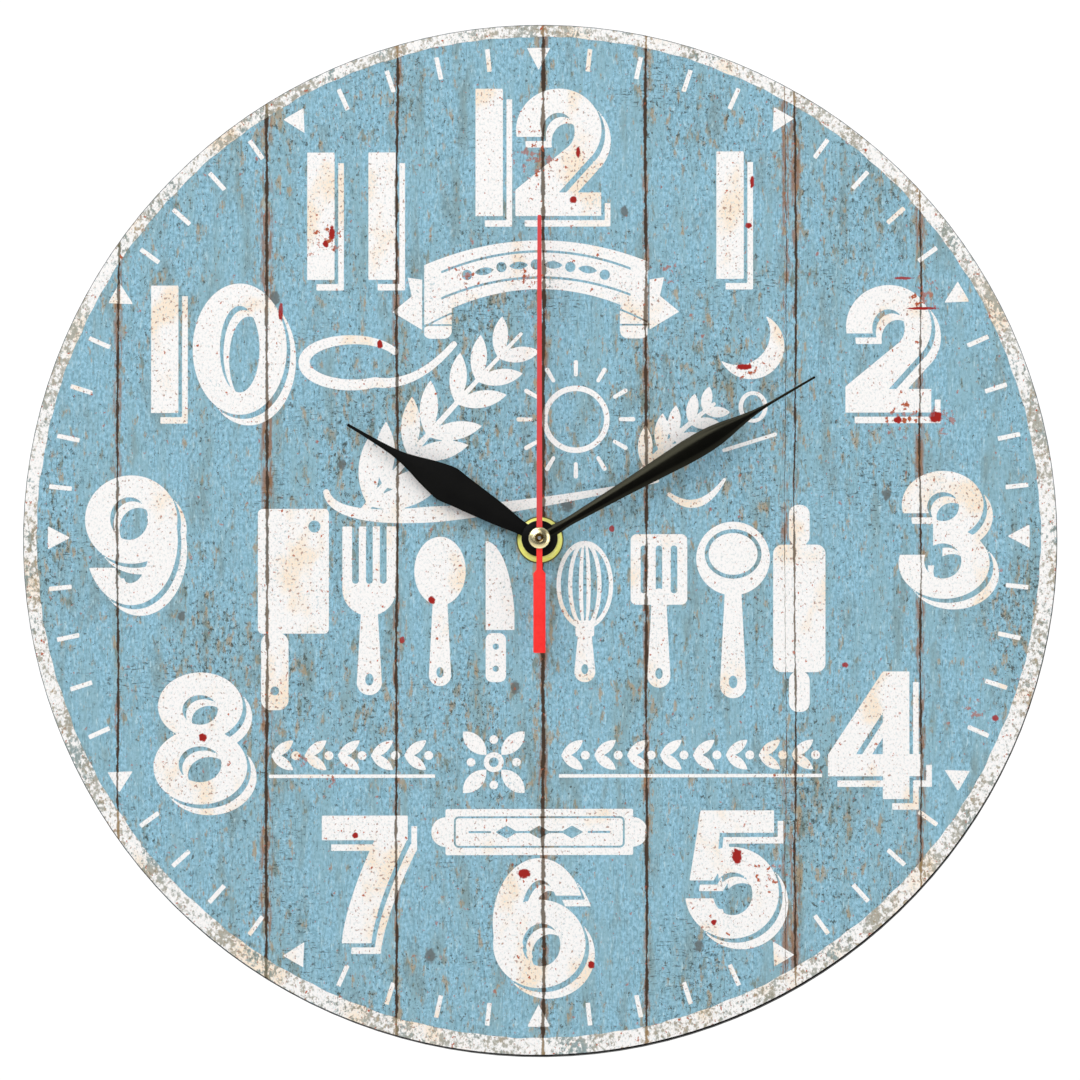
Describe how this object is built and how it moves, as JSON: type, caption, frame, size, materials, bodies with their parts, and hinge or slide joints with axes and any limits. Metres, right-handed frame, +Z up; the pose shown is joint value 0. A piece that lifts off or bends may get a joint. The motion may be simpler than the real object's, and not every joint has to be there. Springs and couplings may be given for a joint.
{
  "type": "wall clock",
  "caption": "Frameless round wall clock: a thin disc with a weathered painted-plank face, three hands and a battery movement with a hanger plate behind.",
  "frame": {"origin": "on the axis of the hands, in the wall plane at the back of the movement", "axes": "+Z up to twelve o'clock, -Y out of the face towards the room, +X to three o'clock"},
  "size_m": [0.3, 0.0314, 0.3],
  "materials": {
    "mdf": "black painted edge and raw brown back",
    "print": "printed painted-plank pattern, satin",
    "steel": "zinc-plated pressed steel",
    "rubber": "matt",
    "brass": "bright turned brass",
    "case": "moulded black plastic",
    "white_plastic": "moulded natural acetal",
    "grey_plastic": "moulded grey plastic",
    "iron": "annealed soft iron",
    "copper": "enamelled copper wire",
    "magnet": "sintered, dark grey",
    "board_green": "solder-masked glass-fibre board",
    "resin": "black epoxy",
    "can": "plated can",
    "cell_steel": "nickel-plated steel",
    "sleeve": "plain printed sleeve",
    "hand_black": "satin black paint",
    "hand_red": "satin red paint",
    "boss": "polished"
  },
  "bodies": {
    "clock_body": {"dial_board": "mdf", "dial_print": "print", "hanger_plate": "steel", "rubber_washer": "rubber", "brass_washer": "brass", "brass_nut": "brass", "threaded_stem": "brass", "movement_case": "case", "rear_cover": "case", "middle_plate": "white_plastic", "stator": "iron", "coil_core": "iron", "coil_bobbin": "white_plastic", "coil_winding": "copper", "circuit_board": "board_green", "chip_blob": "resin", "quartz_crystal": "can", "positive_contact": "steel", "negative_contact": "steel"},
    "minute": {"minute_hand": "hand_black", "cannon_pinion": "white_plastic", "centre_wheel": "white_plastic", "clutch_spring": "steel"},
    "second": {"second_hand": "hand_red", "second_hand_boss": "boss", "seconds_wheel": "white_plastic", "seconds_arbor": "steel"},
    "hour": {"hour_hand": "hand_black", "hour_wheel": "white_plastic"},
    "third": {"third_wheel": "white_plastic"},
    "fifth": {"fifth_wheel": "white_plastic"},
    "rotor": {"rotor_pinion": "white_plastic", "rotor_magnet": "magnet"},
    "motion": {"motion_wheel": "white_plastic"},
    "setting": {"setting_knob": "grey_plastic", "setting_gear": "grey_plastic"},
    "battery": {"battery_cell": "cell_steel", "battery_sleeve": "sleeve"}
  },
  "joints": [
    {"name": "minute_spin", "type": "hinge", "parent": "clock_body", "child": "minute", "pos_m": [0, -0.028, 0], "axis": [0, 1, 0], "continuous": true},
    {"name": "second_spin", "type": "hinge", "parent": "clock_body", "child": "second", "pos_m": [0, -0.03, 0], "axis": [0, 1, 0], "continuous": true},
    {"name": "hour_spin", "type": "hinge", "parent": "clock_body", "child": "hour", "pos_m": [0, -0.026, 0], "axis": [0, 1, 0], "continuous": true},
    {"name": "third_spin", "type": "hinge", "parent": "clock_body", "child": "third", "pos_m": [0.00798, -0.006, -0.00141], "axis": [0, 1, 0], "continuous": true},
    {"name": "fifth_spin", "type": "hinge", "parent": "clock_body", "child": "fifth", "pos_m": [-0.00594, -0.003, 0.00594], "axis": [0, 1, 0], "continuous": true},
    {"name": "rotor_spin", "type": "hinge", "parent": "clock_body", "child": "rotor", "pos_m": [-0.00716, -0.003, 0.01283], "axis": [0, 1, 0], "continuous": true},
    {"name": "motion_spin", "type": "hinge", "parent": "clock_body", "child": "motion", "pos_m": [0.0042, -0.01, 0.00727], "axis": [0, 1, 0], "continuous": true},
    {"name": "setting_spin", "type": "hinge", "parent": "clock_body", "child": "setting", "pos_m": [0.01308, -0.005, 0.01051], "axis": [0, 1, 0], "continuous": true},
    {"name": "battery_slide", "type": "slide", "parent": "clock_body", "child": "battery", "axis": [0, 1, 0], "range_m": [0, 0.03]}
  ],
  "couplings": [
    {"joint": "second_spin", "follows": "minute_spin", "ratio": 60},
    {"joint": "hour_spin", "follows": "minute_spin", "ratio": 0.083333},
    {"joint": "third_spin", "follows": "minute_spin", "ratio": -8},
    {"joint": "fifth_spin", "follows": "minute_spin", "ratio": -300},
    {"joint": "rotor_spin", "follows": "minute_spin", "ratio": 1800},
    {"joint": "motion_spin", "follows": "minute_spin", "ratio": -0.33333},
    {"joint": "setting_spin", "follows": "minute_spin", "ratio": 0.66667}
  ]
}
